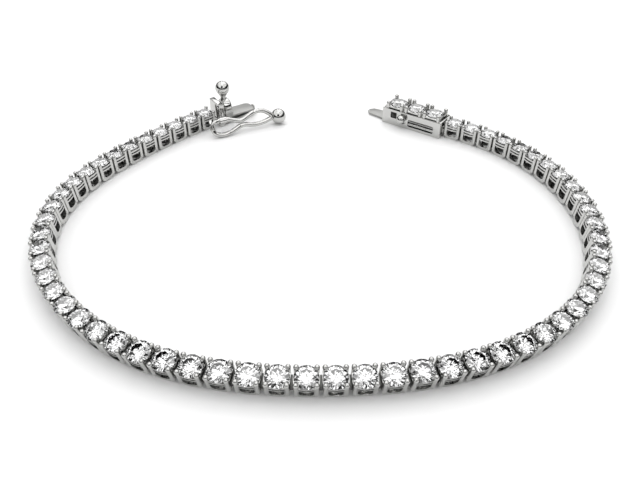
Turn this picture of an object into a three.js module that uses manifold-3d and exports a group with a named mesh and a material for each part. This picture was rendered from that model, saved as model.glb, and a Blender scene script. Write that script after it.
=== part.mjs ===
// A tennis bracelet that lies open on a table: a row of square four-prong
// links, each with one round stone, a box clasp with three larger stones at
// one end, and a spring tongue with a figure-eight safety catch at the other.
// Millimetres, +Z up. The base of the links rests on Z = 0.
import * as THREE from 'three';
import { mergeVertices } from 'three/addons/utils/BufferGeometryUtils.js';
import Module from 'manifold-3d';

const wasm = await Module();
wasm.setup();

// One link of the chain.
const PITCH = 2.92;            // from one link to the next along the row
const LINK_LENGTH = 2.70;      // along the row, which leaves a thin gap
const LINK_WIDTH = 2.50;       // across the row at the gallery
const BASE_WIDTH = 2.28;       // across the row at the bottom rail
const GALLERY_TOP = 2.46;      // top of the gallery rail, under the girdle
const WINDOW_TOP = 1.80;       // upper edge of the side windows
const RAIL_HEIGHT = 0.55;      // the bottom rail
const WINDOW_LENGTH = 1.66;    // side window, along the row
const OPENING_WIDTH = 1.40;    // open underside of the basket, across the row
const PRONG_SIZE = 0.44;       // the corner prongs are square posts
const LINK_HEIGHT = 3.08;      // up to the prong tips

// The round stones: a table, eight crown facets and eight pavilion facets.
const STONE_D = 2.44;
const STONE_TABLE = 0.56;      // table over diameter
const CROWN_HEIGHT = 0.40;
const PAVILION_DEPTH = 0.62;
const GIRDLE_SINK = 0.06;      // how far the girdle sinks in the gallery

// The hinge lug between two links.
const LUG_WIDTH = 1.10;
const LUG_BOTTOM = 0.62;
const LUG_TOP = 1.30;
const LUG_BITE = 0.14;
const END_CLEARANCE = 0.10;

// The row as it lies, from one end over the front to the other end. link is
// counted from the front, bend is the turn of one link against the next in
// degrees, and lean tips the stones away from the middle of the ring.
const ROW = [
  { link: -30, bend: 0.7, lean: -4 },
  { link: -24, bend: 2.4, lean: 1 },
  { link: -18, bend: 8.1, lean: 7.5 },
  { link: -12, bend: 5.8, lean: 12.7 },
  { link: -6, bend: 5.4, lean: 15.8 },
  { link: 0, bend: 1.9, lean: 18 },
  { link: 6, bend: 4.8, lean: 15.8 },
  { link: 12, bend: 6.7, lean: 12.7 },
  { link: 18, bend: 5.65, lean: 7.5 },
  { link: 24, bend: 6.9, lean: 1 },
  { link: 30, bend: 2.0, lean: -4 },
];
const ROW_START = { x: 0.27, y: -24.71, heading: 1.06 };
const LEFT_LINKS = 29;
const RIGHT_LINKS = 28;

// The box of the clasp, with its three settings on top.
const BOX_TURN = 147;          // degrees from +X
const BOX_FROM_ROW = { along: 0.113, inward: 0.230 };   // from the row's last gap
const BOX_LENGTH = 10.60;
const BOX_WIDTH = 3.70;
const BOX_HEIGHT = 2.80;
const BOX_MOUTH_WIDTH = 2.90;
const BOX_MOUTH_BOTTOM = 0.42;
const BOX_MOUTH_TOP = 2.36;
const BOX_STONE_D = 2.90;
const BOX_STONE_PITCH = 3.30;
const BOX_STONE_FIRST = 1.95;
const BOX_PRONG_ALONG = 2.46;
const BOX_PRONG_ACROSS = 2.86;
const BOX_TOP = 3.92;          // up to the prong tips
const BOX_GALLERY = 0.36;      // the settings' rail above the lid
const BOX_GIRDLE = 0.43;       // the girdles above the lid
const BOX_CROWN = 0.48;
const BOX_PAVILION = 0.70;
const BOX_PRONG_SIZE = 0.62;
const SEAT_GAP = 0.06;         // between a box stone and its seat
const SIDE_WINDOW = { from: 7.95, to: 9.05, bottom: 1.28, top: 2.36 };
const SLOT = { from: 1.20, to: 5.85, bottom: 0.66, top: 1.66 };
const BAR = { from: 1.20, to: 5.85, bottom: 0.92, top: 1.30 };
const STUD_ALONG = 6.90;
const STUD_Z = 1.72;
const STUD_R = 0.60;
const STUD_OUT = 0.62;
const STEM_R = 0.28;
const GUIDE_OUT = 3.60;
const GUIDE_BITE = 0.30;       // soldered over this length of the floor
const GUIDE_WIDTH = 2.60;
const GUIDE_TIP = 1.60;
const GUIDE_BOTTOM = 0.12;
const GUIDE_THICK = 0.30;

// The tongue's end of the row.
const TONGUE_TURN = 35;        // degrees from +X
const TONGUE_FROM_ROW = { along: 0.400, outward: -0.240 };   // from the row's first gap
const FRAME_FROM = 0.12;
const FRAME_THICK = 0.92;
const FRAME_WIDTH = 3.40;
const FRAME_HEIGHT = 3.95;
const LEAF_WIDTH = 2.70;
const LEAF_THICK = 0.26;
const LEAF_END = 7.45;         // tip of the tongue
const LEAF_CORNER = 1.00;      // how far the rounded corners of the tip reach
const LOWER_LEAF_Z = 0.12;       // underside of the lower leaf at the end frame
const LOWER_LEAF_RISE = 6.6;     // degrees
const FOLD_BOTTOM = 0.86;
const FOLD_TOP = 1.42;
const FOLD_THICK = 0.26;
const UPPER_LEAF_TIP = 7.07;
const UPPER_LEAF_TIP_Z = 1.16;
const UPPER_LEAF_START = 1.46;
const HOOD_LENGTH = 1.38;
const HOOD_WIDTH = 2.60;
const HOOD_TOP = 4.05;
const HOOD_SIDE = 2.95;          // top of the hood's near and far sides
const BUTTON_ALONG = 1.84;
const BUTTON_R = 1.17;
const BUTTON_Z = 6.00;
const NECK_FOOT_R = 0.42;
const NECK_TOP_R = 0.36;

// The safety catch: two loops of wire that hang from a tube beside the tongue.
const CATCH_TURN = 27.5;
const CATCH_STEEP = 68;        // degrees of the loops' plane from level
const CATCH_FROM_TONGUE = { along: -2.466, outward: -4.116, up: 1.52 };
const WIRE_R = 0.38;
const CATCH_BALL_R = 1.25;
const CATCH_BALL = { over: 1.03, across: -0.22 };   // its centre past the wires' ends
const CATCH_LENGTH = 10.50;    // of the wires
const CATCH_HALF_WIDTH = 1.10; // from the middle line to the top wire in the tube
const CATCH_OUTLINE = [        // shares of the length, and of the half width for each wire
  { along: 0.000, top: 0.06, bottom: -0.06 },
  { along: 0.020, top: 0.68, bottom: -0.60 },
  { along: 0.100, top: 1.00, bottom: -1.02 },
  { along: 0.255, top: 1.00, bottom: -1.02 },
  { along: 0.350, top: 0.68, bottom: -0.70 },
  { along: 0.470, top: 0.40, bottom: -0.33 },
  { along: 0.545, top: 0.62, bottom: -0.36 },
  { along: 0.640, top: 1.00, bottom: -0.57 },
  { along: 0.760, top: 1.25, bottom: -0.62 },
  { along: 0.860, top: 1.08, bottom: -0.50 },
  { along: 0.945, top: 0.54, bottom: -0.32 },
  { along: 1.000, top: -0.02, bottom: -0.16 },
];
const TUBE_FROM = 1.35;
const TUBE_TO = 2.45;
const TUBE_R = 0.74;
const TUBE_BORE = 0.48;

const rad = THREE.MathUtils.degToRad;

// A closed three.js geometry as a solid that can be cut and joined.
function solid(geometry) {
  const bare = geometry.index ? geometry.toNonIndexed() : geometry.clone();
  bare.deleteAttribute('normal');
  bare.deleteAttribute('uv');
  const merged = mergeVertices(bare, 1e-5);
  const mesh = new wasm.Mesh({
    numProp: 3,
    vertProperties: new Float32Array(merged.attributes.position.array),
    triVerts: new Uint32Array(merged.index.array),
  });
  return new wasm.Manifold(mesh);
}

// A cut or joined solid back as a three.js geometry.
function geometryOf(body) {
  const mesh = body.getMesh();
  const geometry = new THREE.BufferGeometry();
  const points = new Float32Array(mesh.numVert * 3);
  for (let i = 0; i < mesh.numVert; i += 1) {
    for (let k = 0; k < 3; k += 1) {
      points[i * 3 + k] = mesh.vertProperties[i * mesh.numProp + k];
    }
  }
  geometry.setAttribute('position', new THREE.BufferAttribute(points, 3));
  geometry.setIndex(new THREE.BufferAttribute(new Uint32Array(mesh.triVerts), 1));
  geometry.computeVertexNormals();
  return geometry;
}

// A block between two corners.
function block(x0, x1, y0, y1, z0, z1) {
  const geometry = new THREE.BoxGeometry(x1 - x0, y1 - y0, z1 - z0);
  geometry.translate((x0 + x1) / 2, (y0 + y1) / 2, (z0 + z1) / 2);
  return geometry;
}

// A flat outline of [x, z] corners, made as wide as width across Y.
function slab(corners, width) {
  const shape = new THREE.Shape(corners.map((c) => new THREE.Vector2(c[0], c[1])));
  const geometry = new THREE.ExtrudeGeometry(shape, { depth: width, bevelEnabled: false });
  geometry.rotateX(Math.PI / 2);
  geometry.translate(0, width / 2, 0);
  return geometry;
}

// A flat outline of [x, y] corners, as thick as height from z0 upwards.
function plate(corners, z0, height) {
  const shape = new THREE.Shape(corners.map((c) => new THREE.Vector2(c[0], c[1])));
  const geometry = new THREE.ExtrudeGeometry(shape, { depth: height, bevelEnabled: false });
  geometry.translate(0, 0, z0);
  return geometry;
}

// A turned piece round Z from a profile of [radius, z] points.
function turned(profile, sides) {
  const geometry = new THREE.LatheGeometry(profile.map((p) => new THREE.Vector2(p[0], p[1])), sides);
  geometry.rotateX(Math.PI / 2);
  return geometry;
}

// A round stone with its girdle at height z: culet, girdle, crown and table.
function stone(diameter, crown, pavilion, z) {
  const r = diameter / 2;
  const profile = [
    [0, z - pavilion],
    [r, z],
    [r * STONE_TABLE, z + crown],
    [0, z + crown],
  ];
  const geometry = turned(profile, 8);
  geometry.rotateZ(Math.PI / 8);
  return geometry;
}

// A prong of the box: a six-sided post with a tapered tip.
function prong(x, y, z0, z1, size) {
  const half = size / 2;
  const profile = [
    [0, z0],
    [half, z0],
    [half, z1 - 0.22],
    [half * 0.55, z1],
    [0, z1],
  ];
  const geometry = turned(profile, 6);
  geometry.translate(x, y, 0);
  return geometry;
}

// The width of a link narrows from the gallery down to the base.
function tapered(geometry) {
  const p = geometry.attributes.position;
  for (let i = 0; i < p.count; i += 1) {
    const share = Math.min(p.getZ(i) / GALLERY_TOP, 1);
    const width = BASE_WIDTH + (LINK_WIDTH - BASE_WIDTH) * share;
    p.setY(i, p.getY(i) * width / LINK_WIDTH);
  }
  return geometry;
}

// One link in its own frame: X along the row, Y inwards, base on Z = 0.
function linkSolid() {
  const hl = LINK_LENGTH / 2;
  const hw = LINK_WIDTH / 2;
  const ww = WINDOW_LENGTH / 2;
  let body = solid(block(-hl, hl, -hw, hw, 0, GALLERY_TOP));
  const round = 0.36;
  const windowOutline = [
    [-ww + round, RAIL_HEIGHT],
    [ww - round, RAIL_HEIGHT],
    [ww, RAIL_HEIGHT + round],
    [ww, WINDOW_TOP],
    [-ww, WINDOW_TOP],
    [-ww, RAIL_HEIGHT + round],
  ];
  body = body.subtract(solid(slab(windowOutline, LINK_WIDTH + 1)));
  const ow = OPENING_WIDTH / 2;
  body = body.subtract(solid(block(-0.62, 0.62, -ow, ow, -0.5, RAIL_HEIGHT + 0.2)));
  const girdle = GALLERY_TOP - GIRDLE_SINK;
  body = body.add(solid(stone(STONE_D, CROWN_HEIGHT + GIRDLE_SINK, PAVILION_DEPTH, girdle)));
  for (const [sx, sy] of [[1, 1], [-1, 1], [-1, -1], [1, -1]]) {
    const x = sx > 0 ? hl - PRONG_SIZE : -hl;
    const y = sy > 0 ? hw - PRONG_SIZE : -hw;
    body = body.add(solid(block(x, x + PRONG_SIZE, y, y + PRONG_SIZE, GALLERY_TOP - 0.2, LINK_HEIGHT)));
  }
  return solid(tapered(geometryOf(body)));
}

// A value of the row's table at a place along the row.
function rowValue(place, name) {
  const last = ROW.length - 1;
  if (place <= ROW[0].link) return ROW[0][name];
  if (place >= ROW[last].link) return ROW[last][name];
  let i = 0;
  while (ROW[i + 1].link < place) i += 1;
  const share = (place - ROW[i].link) / (ROW[i + 1].link - ROW[i].link);
  return ROW[i][name] + (ROW[i + 1][name] - ROW[i][name]) * share;
}

// The gaps between the links, worked out from the front to both ends.
function rowGaps() {
  const gaps = new Map();
  const steps = 20;
  for (const sign of [1, -1]) {
    let x = ROW_START.x;
    let y = ROW_START.y;
    let turn = rad(ROW_START.heading);
    gaps.set(0, { x, y, turn });
    for (let i = 1; i <= 30; i += 1) {
      for (let k = 0; k < steps; k += 1) {
        const middle = sign * (i - 1 + (k + 0.5) / steps);
        const half = sign * rad(rowValue(middle, 'bend')) / steps / 2;
        turn += half;
        x += sign * Math.cos(turn) * PITCH / steps;
        y += sign * Math.sin(turn) * PITCH / steps;
        turn += half;
      }
      gaps.set(sign * i, { x, y, turn });
    }
  }
  return gaps;
}

// The frame of a piece that stands at (x, y) with the row's heading and lean.
function standing(x, y, turn, leanDegrees, halfBase) {
  const lean = rad(leanDegrees);
  const along = new THREE.Vector3(Math.cos(turn), Math.sin(turn), 0);
  const outLevel = new THREE.Vector3(Math.sin(turn), -Math.cos(turn), 0);
  const up = new THREE.Vector3(0, 0, 1);
  const out = outLevel.clone().multiplyScalar(Math.cos(lean)).addScaledVector(up, -Math.sin(lean));
  const normal = outLevel.clone().multiplyScalar(Math.sin(lean)).addScaledVector(up, Math.cos(lean));
  const matrix = new THREE.Matrix4().makeBasis(along, out.clone().negate(), normal);
  matrix.setPosition(x, y, halfBase * Math.abs(Math.sin(lean)));
  return matrix;
}

// A solid copied to its place.
function placed(body, matrix) {
  return solid(geometryOf(body).applyMatrix4(matrix));
}

const gaps = rowGaps();

// The place of link i, which lies between gap i and gap i + 1.
function linkMatrix(i) {
  const a = gaps.get(i);
  const b = gaps.get(i + 1);
  const turn = Math.atan2(b.y - a.y, b.x - a.x);
  return standing((a.x + b.x) / 2, (a.y + b.y) / 2, turn, rowValue(i + 0.5, 'lean'), BASE_WIDTH / 2);
}

// The lug that joins link i to the one before it, in the frame of the gap.
function lugMatrix(i) {
  const g = gaps.get(i);
  return standing(g.x, g.y, g.turn, rowValue(i, 'lean'), BASE_WIDTH / 2);
}

const lugReach = (PITCH - LINK_LENGTH) / 2 + LUG_BITE;

// A run of links from the first to the last, joined by their lugs.
function chain(first, last) {
  const one = linkSolid();
  const parts = [];
  for (let i = first; i <= last; i += 1) {
    parts.push(placed(one, linkMatrix(i)));
    if (i > first) {
      const w = LUG_WIDTH / 2;
      const lug = solid(block(-lugReach, lugReach, -w, w, LUG_BOTTOM, LUG_TOP));
      parts.push(placed(lug, lugMatrix(i)));
    }
  }
  let body = parts[0];
  for (let i = 1; i < parts.length; i += 1) body = body.add(parts[i]);
  return body;
}

// A half lug on the free end of a piece, which stops short of its neighbour.
function endLug(matrix, towards) {
  const w = LUG_WIDTH / 2;
  const near = (PITCH - LINK_LENGTH) / 2;
  const x0 = towards > 0 ? -near - LUG_BITE : -near + END_CLEARANCE;
  const x1 = towards > 0 ? near - END_CLEARANCE : near + LUG_BITE;
  return placed(solid(block(x0, x1, -w, w, LUG_BOTTOM, LUG_TOP)), matrix);
}

const polished = new THREE.MeshStandardMaterial({ color: 0xe3e3e1, roughness: 0.12, metalness: 1 });
const satin = new THREE.MeshStandardMaterial({ color: 0xc9c9c7, roughness: 0.3, metalness: 1 });
const stones = new THREE.MeshStandardMaterial({ color: 0xf2f5f7, roughness: 0.05, metalness: 0.4 });

const bracelet = new THREE.Group();

function addPiece(name, body, material, matrix) {
  const mesh = new THREE.Mesh(geometryOf(body), material);
  mesh.name = name;
  if (matrix) mesh.applyMatrix4(matrix);
  bracelet.add(mesh);
}

// The two halves of the row meet at the front.
const leftRow = chain(-LEFT_LINKS, -1);
const rightRow = chain(0, RIGHT_LINKS - 1).add(endLug(lugMatrix(0), -1));
addPiece('chain_left', leftRow, polished);
addPiece('chain_right', rightRow, polished);

// The box in its own frame: X from the row towards the mouth, Y inwards to
// the wrist, Z up.
const boxTurn = rad(BOX_TURN);
const rowEnd = gaps.get(RIGHT_LINKS);
const boxX = rowEnd.x + BOX_FROM_ROW.along * Math.cos(boxTurn) - BOX_FROM_ROW.inward * Math.sin(boxTurn);
const boxY = rowEnd.y + BOX_FROM_ROW.along * Math.sin(boxTurn) + BOX_FROM_ROW.inward * Math.cos(boxTurn);
const boxMatrix = standing(boxX, boxY, boxTurn, 0, 0);
const bw = BOX_WIDTH / 2;
const mw = BOX_MOUTH_WIDTH / 2;
let box = solid(block(0, BOX_LENGTH, -bw, bw, 0, BOX_HEIGHT));
box = box.subtract(solid(block(1.0, BOX_LENGTH + 1, -mw, mw, BOX_MOUTH_BOTTOM, BOX_MOUTH_TOP)));
box = box.subtract(solid(block(SIDE_WINDOW.from, SIDE_WINDOW.to, 0, bw + 1, SIDE_WINDOW.bottom, SIDE_WINDOW.top)));
box = box.subtract(solid(block(SLOT.from, SLOT.to, 0, bw + 1, SLOT.bottom, SLOT.top)));
box = box.add(solid(block(BAR.from - 0.1, BAR.to + 0.1, mw + 0.06, bw - 0.10, BAR.bottom, BAR.top)));
box = box.add(solid(block(-0.12, 0.2, -LUG_WIDTH / 2, LUG_WIDTH / 2, LUG_BOTTOM, LUG_TOP)));
// The three settings are soldered on the lid, each with a seat for its stone.
const girdleZ = BOX_HEIGHT + BOX_GIRDLE;
const settingHalf = BOX_STONE_PITCH / 2 - 0.12;
for (let i = 0; i < 3; i += 1) {
  const middle = BOX_STONE_FIRST + BOX_STONE_PITCH * i;
  const rail = block(middle - settingHalf, middle + settingHalf, -bw + 0.12, bw - 0.12,
    BOX_HEIGHT - 0.1, BOX_HEIGHT + BOX_GALLERY);
  box = box.add(solid(rail));
  const sx = BOX_PRONG_ALONG / 2;
  const sy = BOX_PRONG_ACROSS / 2;
  for (const [x, y] of [[sx, sy], [-sx, sy], [-sx, -sy], [sx, -sy]]) {
    box = box.add(solid(prong(middle + x, y, BOX_HEIGHT - 0.1, BOX_TOP, BOX_PRONG_SIZE)));
  }
  const seat = stone(BOX_STONE_D + 2 * SEAT_GAP, BOX_CROWN, BOX_PAVILION + SEAT_GAP, girdleZ);
  seat.translate(middle, 0, 0);
  box = box.subtract(solid(seat));
}

// The guide plate sticks out under the mouth, soldered to the floor.
const guideOutline = [
  [BOX_LENGTH - GUIDE_BITE, -GUIDE_WIDTH / 2],
  [BOX_LENGTH, -GUIDE_WIDTH / 2],
  [BOX_LENGTH + GUIDE_OUT - 0.5, -GUIDE_TIP / 2 - 0.1],
  [BOX_LENGTH + GUIDE_OUT, -GUIDE_TIP / 2 + 0.3],
  [BOX_LENGTH + GUIDE_OUT, GUIDE_TIP / 2 - 0.3],
  [BOX_LENGTH + GUIDE_OUT - 0.5, GUIDE_TIP / 2 + 0.1],
  [BOX_LENGTH, GUIDE_WIDTH / 2],
  [BOX_LENGTH - GUIDE_BITE, GUIDE_WIDTH / 2],
];
box = box.add(solid(plate(guideOutline, GUIDE_BOTTOM, GUIDE_THICK)));

// The stud that the safety catch snaps over, on the wrist side of the box.
const studBall = new THREE.SphereGeometry(STUD_R, 10, 6);
studBall.translate(STUD_ALONG, bw + STUD_OUT, STUD_Z);
const studStem = new THREE.CylinderGeometry(STEM_R, STEM_R, STUD_OUT + 0.1, 6);
studStem.translate(STUD_ALONG, bw + STUD_OUT / 2 - 0.05, STUD_Z);
box = box.add(solid(studBall)).add(solid(studStem));
addPiece('clasp_box', box, polished, boxMatrix);

for (let i = 0; i < 3; i += 1) {
  const matrix = boxMatrix.clone();
  matrix.multiply(new THREE.Matrix4().makeTranslation(BOX_STONE_FIRST + BOX_STONE_PITCH * i, 0, 0));
  const cut = stone(BOX_STONE_D, BOX_CROWN, BOX_PAVILION, girdleZ);
  addPiece('box_stone_' + (i + 1), solid(cut), stones, matrix);
}

// The tongue's end in its own frame: X away from the row, Y outwards.
const tongueTurn = rad(TONGUE_TURN);
const tongueMatrix = new THREE.Matrix4().makeRotationZ(tongueTurn);
const rowStart = gaps.get(-LEFT_LINKS);
const tongueX = rowStart.x + TONGUE_FROM_ROW.along * Math.cos(tongueTurn)
  - TONGUE_FROM_ROW.outward * Math.sin(tongueTurn);
const tongueY = rowStart.y + TONGUE_FROM_ROW.along * Math.sin(tongueTurn)
  + TONGUE_FROM_ROW.outward * Math.cos(tongueTurn);
tongueMatrix.setPosition(tongueX, tongueY, 0);

// The safety catch's frame: X along its length, Y across its loops.
const catchTurn = rad(CATCH_TURN);
const catchMatrix = new THREE.Matrix4().makeRotationZ(catchTurn);
catchMatrix.multiply(new THREE.Matrix4().makeRotationX(rad(CATCH_STEEP)));
const catchX = tongueX + CATCH_FROM_TONGUE.along * Math.cos(tongueTurn)
  - CATCH_FROM_TONGUE.outward * Math.sin(tongueTurn);
const catchY = tongueY + CATCH_FROM_TONGUE.along * Math.sin(tongueTurn)
  + CATCH_FROM_TONGUE.outward * Math.cos(tongueTurn);
catchMatrix.setPosition(catchX, catchY, CATCH_FROM_TONGUE.up);

const topWire = CATCH_HALF_WIDTH;
const fw = FRAME_WIDTH / 2;
const frameEnd = FRAME_FROM + FRAME_THICK;

// A rod of square section between two points.
function rod(from, to, width) {
  const a = new THREE.Vector3(...from);
  const b = new THREE.Vector3(...to);
  const geometry = new THREE.BoxGeometry(width, width, a.distanceTo(b));
  const turn = new THREE.Quaternion().setFromUnitVectors(
    new THREE.Vector3(0, 0, 1), b.clone().sub(a).normalize());
  geometry.applyQuaternion(turn);
  geometry.translate((a.x + b.x) / 2, (a.y + b.y) / 2, (a.z + b.z) / 2);
  return geometry;
}

// A straight tube along X between two places, at y in the catch's frame.
function cylinderAlongX(from, to, radius, sides, y) {
  const geometry = new THREE.CylinderGeometry(radius, radius, to - from, sides);
  geometry.rotateZ(Math.PI / 2);
  geometry.translate((from + to) / 2, y, 0);
  return geometry;
}

const toTongue = tongueMatrix.clone().invert();
const catchInTongue = toTongue.clone().multiply(catchMatrix);
const tubeMiddle = new THREE.Vector3((TUBE_FROM + TUBE_TO) / 2, topWire, 0).applyMatrix4(catchInTongue);

// The end frame with the arm and the tube that hold the safety catch, and the
// lower leaf of the tongue, which is soldered to it and ends in the fold.
let frame = solid(block(FRAME_FROM, frameEnd, -fw, fw, 0, FRAME_HEIGHT));
frame = frame.add(solid(block(FRAME_FROM - 0.1, FRAME_FROM + 0.2, -LUG_WIDTH / 2, LUG_WIDTH / 2, LUG_BOTTOM, LUG_TOP)));
const tube = placed(solid(cylinderAlongX(TUBE_FROM, TUBE_TO, TUBE_R, 8, topWire)), catchInTongue);
const bore = placed(solid(cylinderAlongX(TUBE_FROM - 1, TUBE_TO + 1, TUBE_BORE, 8, topWire)), catchInTongue);
const armStart = [frameEnd - 0.31, -fw + 0.15, tubeMiddle.z];
frame = frame.add(solid(rod(armStart, [tubeMiddle.x, tubeMiddle.y, tubeMiddle.z], 0.5)));
frame = frame.add(tube).subtract(bore);
const lw = LEAF_WIDTH / 2;
const lowerOutline = [
  [frameEnd - 0.1, -lw],
  [LEAF_END - LEAF_CORNER, -lw],
  [LEAF_END - LEAF_CORNER * 0.29, -lw + LEAF_CORNER * 0.4],
  [LEAF_END, -lw + LEAF_CORNER],
  [LEAF_END, lw - LEAF_CORNER],
  [LEAF_END - LEAF_CORNER * 0.29, lw - LEAF_CORNER * 0.4],
  [LEAF_END - LEAF_CORNER, lw],
  [frameEnd - 0.1, lw],
];
const foldHalf = lw - LEAF_CORNER;
const lowerGeometry = plate(lowerOutline, 0, LEAF_THICK);
lowerGeometry.translate(-frameEnd, 0, 0);
lowerGeometry.rotateY(rad(-LOWER_LEAF_RISE));
lowerGeometry.translate(frameEnd, 0, LOWER_LEAF_Z);
frame = frame.add(solid(lowerGeometry));
frame = frame.add(solid(block(LEAF_END - FOLD_THICK, LEAF_END, -foldHalf, foldHalf, FOLD_BOTTOM, FOLD_TOP)));
addPiece('tongue_frame', frame, polished, tongueMatrix);

// The upper leaf runs level from the fold back to the end frame, where its
// crowned hood stands up beside the frame and carries the thumb button.
const upperOutline = [
  [UPPER_LEAF_TIP, -0.35],
  [UPPER_LEAF_TIP - 0.8, -lw],
  [UPPER_LEAF_START, -lw],
  [UPPER_LEAF_START, lw],
  [UPPER_LEAF_TIP - 0.8, lw],
  [UPPER_LEAF_TIP, 0.35],
];
const upperGeometry = plate(upperOutline, UPPER_LEAF_TIP_Z, LEAF_THICK);
const hoodFrom = UPPER_LEAF_START;
const hoodTo = hoodFrom + HOOD_LENGTH;
const hoodFoot = UPPER_LEAF_TIP_Z + LEAF_THICK / 2;
const hoodOutline = [
  [hoodFrom, hoodFoot],
  [hoodTo, hoodFoot],
  [hoodTo, HOOD_TOP - 0.70],
  [hoodTo - 0.14, HOOD_TOP - 0.42],
  [hoodTo - 0.48, HOOD_TOP - 0.14],
  [hoodTo - 0.94, HOOD_TOP],
  [hoodFrom, HOOD_TOP],
];
const hw = HOOD_WIDTH / 2;
const crownOutline = [
  [-hw, 0],
  [hw, 0],
  [hw, HOOD_SIDE],
  [hw * 0.73, HOOD_TOP - 0.50],
  [hw * 0.38, HOOD_TOP - 0.14],
  [0, HOOD_TOP + 0.01],
  [-hw * 0.38, HOOD_TOP - 0.14],
  [-hw * 0.73, HOOD_TOP - 0.50],
  [-hw, HOOD_SIDE],
];

// The thumb button is soldered on the hood.
const foot = HOOD_TOP - 0.25;
const buttonProfile = [
  [0, foot],
  [NECK_FOOT_R, foot],
  [NECK_FOOT_R, foot + 0.3],
  [NECK_TOP_R, BUTTON_Z - BUTTON_R * 0.92],
];
const ballSteps = 7;
for (let i = 1; i <= ballSteps; i += 1) {
  const start = Math.asin(NECK_TOP_R / BUTTON_R);
  const turn = start + (Math.PI - start) * i / ballSteps;
  const r = i === ballSteps ? 0 : BUTTON_R * Math.sin(turn);
  buttonProfile.push([r, BUTTON_Z - BUTTON_R * Math.cos(turn)]);
}
const button = turned(buttonProfile, 12);
button.translate(BUTTON_ALONG, 0, 0);
const crown = slab(crownOutline, hoodTo + 2);
crown.rotateZ(Math.PI / 2);
crown.translate(hoodTo / 2, 0, 0);
const hood = solid(slab(hoodOutline, LEAF_WIDTH)).intersect(solid(crown));
const leaf = solid(upperGeometry).add(hood).add(solid(button));
addPiece('spring_leaf', leaf, satin, tongueMatrix);

// The safety catch: an upper and a lower wire, which meet at the waist and
// at both ends, and the grip ball.
function catchWire(side) {
  const points = CATCH_OUTLINE.map((p) => new THREE.Vector3(
    p.along * CATCH_LENGTH, p[side] * CATCH_HALF_WIDTH, 0));
  const first = points.shift();
  const path = new THREE.CurvePath();
  const bends = [first, points[0], points[1]];
  path.add(new THREE.QuadraticBezierCurve3(...bends));
  path.add(new THREE.LineCurve3(points[1], points[2]));
  path.add(new THREE.CatmullRomCurve3(points.slice(2), false, 'centripetal'));
  const section = new THREE.Shape();
  for (let i = 0; i < 6; i += 1) {
    const a = Math.PI * 2 * (i + 0.5) / 6;
    const x = WIRE_R * Math.cos(a);
    const y = WIRE_R * Math.sin(a);
    if (i === 0) section.moveTo(x, y);
    else section.lineTo(x, y);
  }
  section.closePath();
  return new THREE.ExtrudeGeometry(section, { steps: 18, bevelEnabled: false, extrudePath: path });
}
const ball = new THREE.SphereGeometry(CATCH_BALL_R, 12, 8);
ball.translate(CATCH_LENGTH + CATCH_BALL.over, CATCH_BALL.across, 0);
const leftEnd = new THREE.SphereGeometry(WIRE_R * 1.15, 6, 4);
let safety = solid(catchWire('top')).add(solid(catchWire('bottom')));
safety = safety.add(solid(leftEnd)).add(solid(ball));
addPiece('safety_catch', safety, polished, catchMatrix);

// The origin is under the middle of the whole piece, on the table.
bracelet.updateMatrixWorld(true);
const whole = new THREE.Box3().setFromObject(bracelet, true);
const middle = whole.getCenter(new THREE.Vector3());
bracelet.position.set(-middle.x, -middle.y, -whole.min.z);

export default bracelet;
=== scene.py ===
# A tennis bracelet that lies open on a pale table: a row of square claw-set
# links with round stones, a box clasp at one end, and a spring tongue with a
# looped safety catch at the other. Pieces are modelled in millimetres, and
# each one is scaled to metres as it is put in its place.
import math

import bmesh
import bpy
from mathutils import Matrix, Vector


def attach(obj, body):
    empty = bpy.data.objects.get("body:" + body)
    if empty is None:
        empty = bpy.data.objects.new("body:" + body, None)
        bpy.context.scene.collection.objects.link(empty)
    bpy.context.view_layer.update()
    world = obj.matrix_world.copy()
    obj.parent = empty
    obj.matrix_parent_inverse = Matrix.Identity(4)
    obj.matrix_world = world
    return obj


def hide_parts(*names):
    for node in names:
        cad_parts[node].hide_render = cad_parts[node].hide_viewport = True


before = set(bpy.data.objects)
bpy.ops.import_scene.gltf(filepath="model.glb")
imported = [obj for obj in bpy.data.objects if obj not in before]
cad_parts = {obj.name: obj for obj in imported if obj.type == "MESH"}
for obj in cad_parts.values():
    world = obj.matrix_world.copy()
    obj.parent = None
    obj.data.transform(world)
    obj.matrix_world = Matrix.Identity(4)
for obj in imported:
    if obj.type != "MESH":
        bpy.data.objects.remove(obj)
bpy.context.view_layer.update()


# Camera. It looks down on the ring from the front, from a hand's width away,
# and is turned very little about its own line of sight.
CAMERA_DISTANCE = 0.088296
CAMERA_ELEVATION = 38.337
CAMERA_ROLL = 0.661
CAMERA_AIM = Vector((-0.000103, -0.004892, 0.0))
LENS_MM = 37.718
SENSOR_MM = 36.0
NEAREST = 0.004
FARTHEST = 10.0

elevation = math.radians(CAMERA_ELEVATION)
back = Vector((0.0, -math.cos(elevation), math.sin(elevation)))
camera_data = bpy.data.cameras.new("photo_camera")
camera_data.lens = LENS_MM
camera_data.sensor_width = SENSOR_MM
camera_data.clip_start = NEAREST
camera_data.clip_end = FARTHEST
camera = bpy.data.objects.new("photo_camera", camera_data)
bpy.context.scene.collection.objects.link(camera)
look = (-back).to_track_quat("-Z", "Y").to_matrix().to_4x4()
roll = Matrix.Rotation(math.radians(CAMERA_ROLL), 4, "Z")
camera.matrix_world = Matrix.Translation(CAMERA_AIM + back * CAMERA_DISTANCE) @ look @ roll
bpy.context.scene.camera = camera


# Table. A white lacquered board, smooth enough for soft shadows and too matt
# for reflections. It isn't part of the bracelet.
FLOOR_WHITE = "#FCFCFC"
FLOOR_SIZE = 3.0
LACQUER_ROUGHNESS = 0.6


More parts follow.
